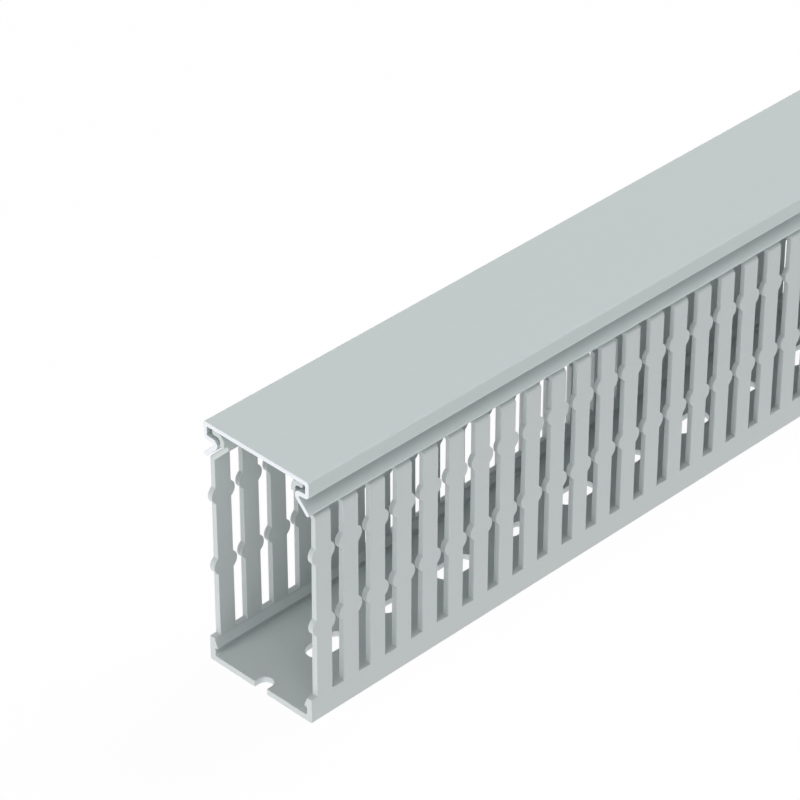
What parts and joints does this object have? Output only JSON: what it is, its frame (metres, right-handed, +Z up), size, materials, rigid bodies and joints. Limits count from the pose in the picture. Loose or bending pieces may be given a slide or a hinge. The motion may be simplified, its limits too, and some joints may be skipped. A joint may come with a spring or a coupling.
{
  "type": "slotted wire duct",
  "caption": "Straight slotted wire duct: a trough with knobbed fingers for walls and a punched floor, under a flat clip-on cover with flared edges.",
  "frame": {"origin": "middle of the duct's length and width, on the underside of the floor", "axes": "+X along the duct, +Y across it, +Z up through the cover"},
  "size_m": [0.5, 0.04, 0.08],
  "materials": {
    "base_pvc": "light grey extruded PVC, smooth with a dull sheen",
    "cover_pvc": "light grey extruded PVC, smooth with a dull sheen"
  },
  "bodies": {
    "trough": {"base": "base_pvc"},
    "lid": {"cover": "cover_pvc"}
  },
  "joints": [
    {"name": "cover_slide", "type": "slide", "parent": "trough", "child": "lid", "axis": [1, 0, 0], "range_m": [-0.5, 0.5]}
  ]
}
